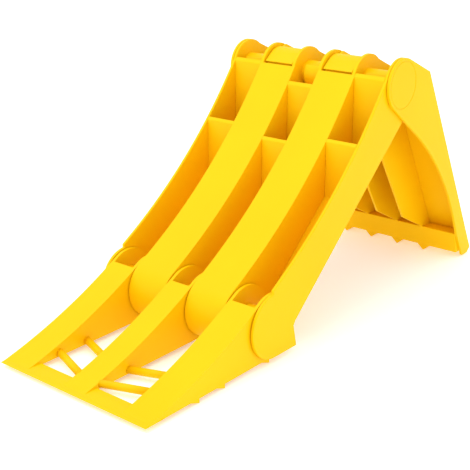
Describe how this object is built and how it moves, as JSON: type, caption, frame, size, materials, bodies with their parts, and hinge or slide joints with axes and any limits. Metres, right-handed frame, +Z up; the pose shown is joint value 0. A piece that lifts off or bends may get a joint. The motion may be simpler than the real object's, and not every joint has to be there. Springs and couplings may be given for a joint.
{
  "type": "folding wheel chock",
  "caption": "Folding yellow plastic wheel chock: a toe, a curved ramp and a rear support joined by hinge tubes, unfolded to hold a tyre.",
  "frame": {"origin": "On the ground, under the middle of the unfolded chock's box.", "axes": "+Z up, +X across the chock, +Y from the toe to the rear support; the toe points along -Y."},
  "size_m": [0.12, 0.32, 0.1512],
  "materials": {
    "toe_moulding": "satin moulded polypropylene, signal yellow",
    "ramp_moulding": "satin moulded polypropylene, signal yellow",
    "support_moulding": "satin moulded polypropylene, signal yellow",
    "hinge_tube": "satin extruded polypropylene, signal yellow"
  },
  "bodies": {
    "ramp": {"left_hinge_saddle": "ramp_moulding", "left_pocket_floor": "ramp_moulding", "left_pocket_middle_web": "ramp_moulding", "left_pocket_upper_web": "ramp_moulding", "left_tread_barrel": "ramp_moulding", "left_tread_inner_wall": "ramp_moulding", "left_tread_outer_wall": "ramp_moulding", "left_tread_skin": "ramp_moulding", "lower_hinge_tube": "hinge_tube", "middle_hinge_saddle": "ramp_moulding", "middle_pocket_floor": "ramp_moulding", "middle_pocket_middle_web": "ramp_moulding", "middle_pocket_upper_web": "ramp_moulding", "ramp_left_wall": "ramp_moulding", "ramp_right_wall": "ramp_moulding", "right_hinge_saddle": "ramp_moulding", "right_pocket_floor": "ramp_moulding", "right_pocket_middle_web": "ramp_moulding", "right_pocket_upper_web": "ramp_moulding", "right_tread_barrel": "ramp_moulding", "right_tread_inner_wall": "ramp_moulding", "right_tread_outer_wall": "ramp_moulding", "right_tread_skin": "ramp_moulding", "upper_hinge_tube": "hinge_tube"},
    "toe": {"toe_left_front_rod": "toe_moulding", "toe_left_rear_rod": "toe_moulding", "toe_left_rib_left_wall": "toe_moulding", "toe_left_rib_right_wall": "toe_moulding", "toe_left_rib_skin": "toe_moulding", "toe_left_teeth": "toe_moulding", "toe_middle_rib_left_wall": "toe_moulding", "toe_middle_rib_right_wall": "toe_moulding", "toe_middle_rib_skin": "toe_moulding", "toe_plate": "toe_moulding", "toe_right_front_rod": "toe_moulding", "toe_right_rear_rod": "toe_moulding", "toe_right_rib_left_wall": "toe_moulding", "toe_right_rib_right_wall": "toe_moulding", "toe_right_rib_skin": "toe_moulding", "toe_right_teeth": "toe_moulding"},
    "support": {"support_back": "support_moulding", "support_foot": "support_moulding", "support_foot_teeth": "support_moulding", "support_left_cheek": "support_moulding", "support_left_inner_fin": "support_moulding", "support_left_knuckle": "support_moulding", "support_left_outer_fin": "support_moulding", "support_right_cheek": "support_moulding", "support_right_inner_fin": "support_moulding", "support_right_knuckle": "support_moulding", "support_right_outer_fin": "support_moulding"}
  },
  "joints": [
    {"name": "toe_fold", "type": "hinge", "parent": "ramp", "child": "toe", "pos_m": [0, -0.0617, 0.0223], "axis": [-1, 0, 0], "range_deg": [0, 138]},
    {"name": "support_fold", "type": "hinge", "parent": "ramp", "child": "support", "pos_m": [0, 0.0579, 0.1352], "axis": [-1, 0, 0], "range_deg": [0, 62]}
  ]
}
